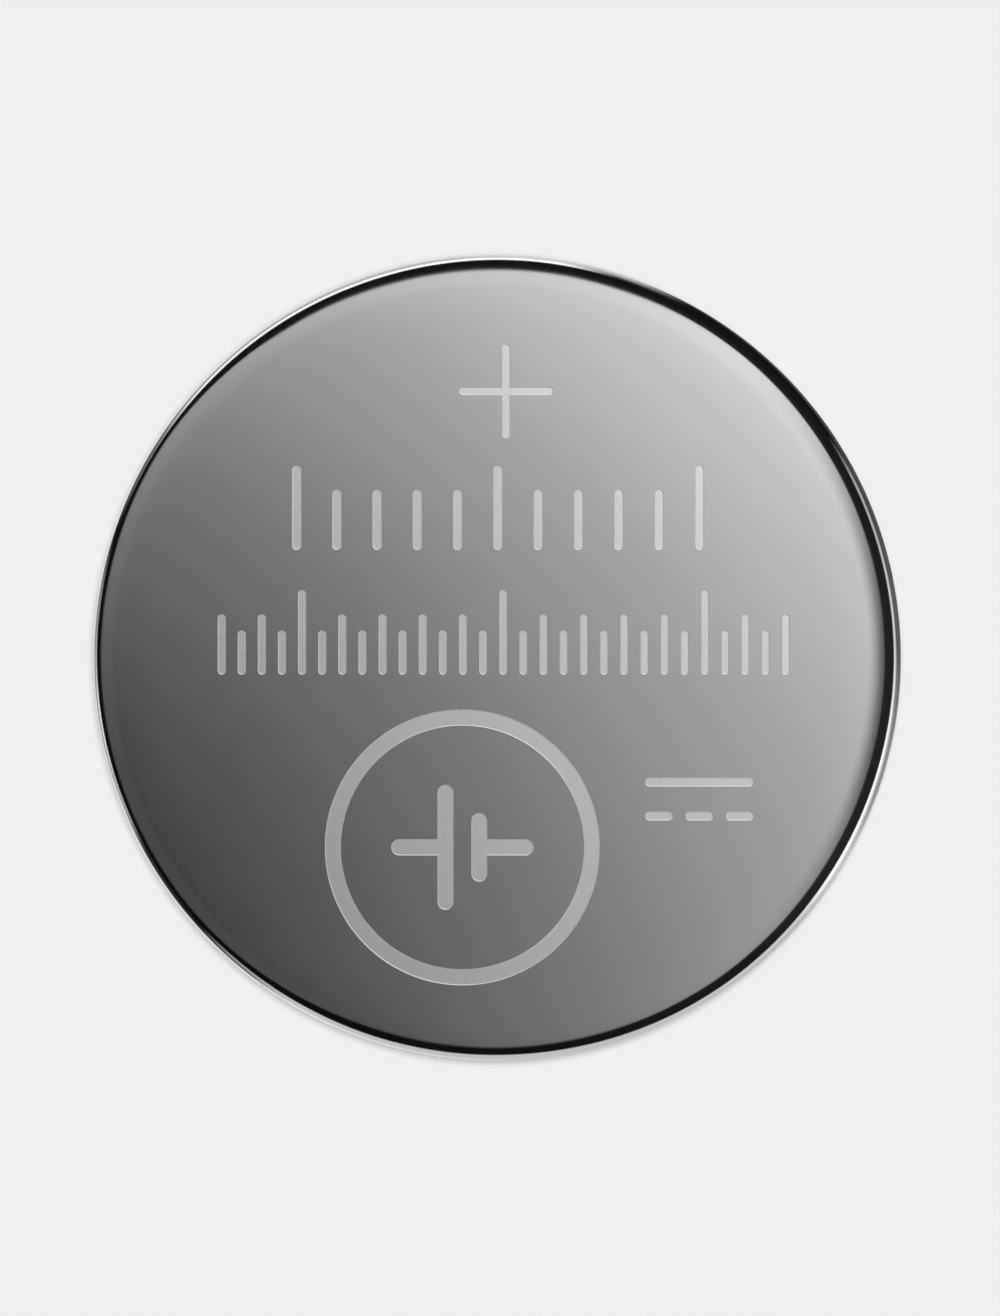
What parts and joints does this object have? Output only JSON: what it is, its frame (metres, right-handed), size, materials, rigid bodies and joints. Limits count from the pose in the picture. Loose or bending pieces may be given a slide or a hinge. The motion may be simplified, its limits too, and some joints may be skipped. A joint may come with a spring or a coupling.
{
  "type": "lithium coin cell",
  "caption": "Round flat battery cell: a crimped metal can as the positive pole over a stepped cap as the negative pole, sealed by a plastic ring.",
  "frame": {"origin": "centre of the negative contact face, which is the lowest face when the cell lies with its positive face up", "axes": "+Z along the cell's axis, out of the positive face; +Y towards the top of the marked face as the picture shows it; +X to its right"},
  "size_m": [0.02, 0.02, 0.0032],
  "materials": {
    "can_steel": "satin nickel-plated stainless steel",
    "gasket_plastic": "moulded polypropylene, smooth",
    "cap_steel": "satin nickel-plated stainless steel, finely dimpled",
    "lithium_metal": "soft rolled metal, dull",
    "separator_felt": "non-woven polypropylene",
    "cathode_mix": "pressed powder, matt black",
    "collector_mesh": "expanded metal"
  },
  "bodies": {
    "root": {"positive_can": "can_steel", "sealing_gasket": "gasket_plastic", "negative_cap": "cap_steel", "lithium_anode": "lithium_metal", "separator": "separator_felt", "cathode_pellet": "cathode_mix", "cathode_collector": "collector_mesh"}
  },
  "joints": []
}
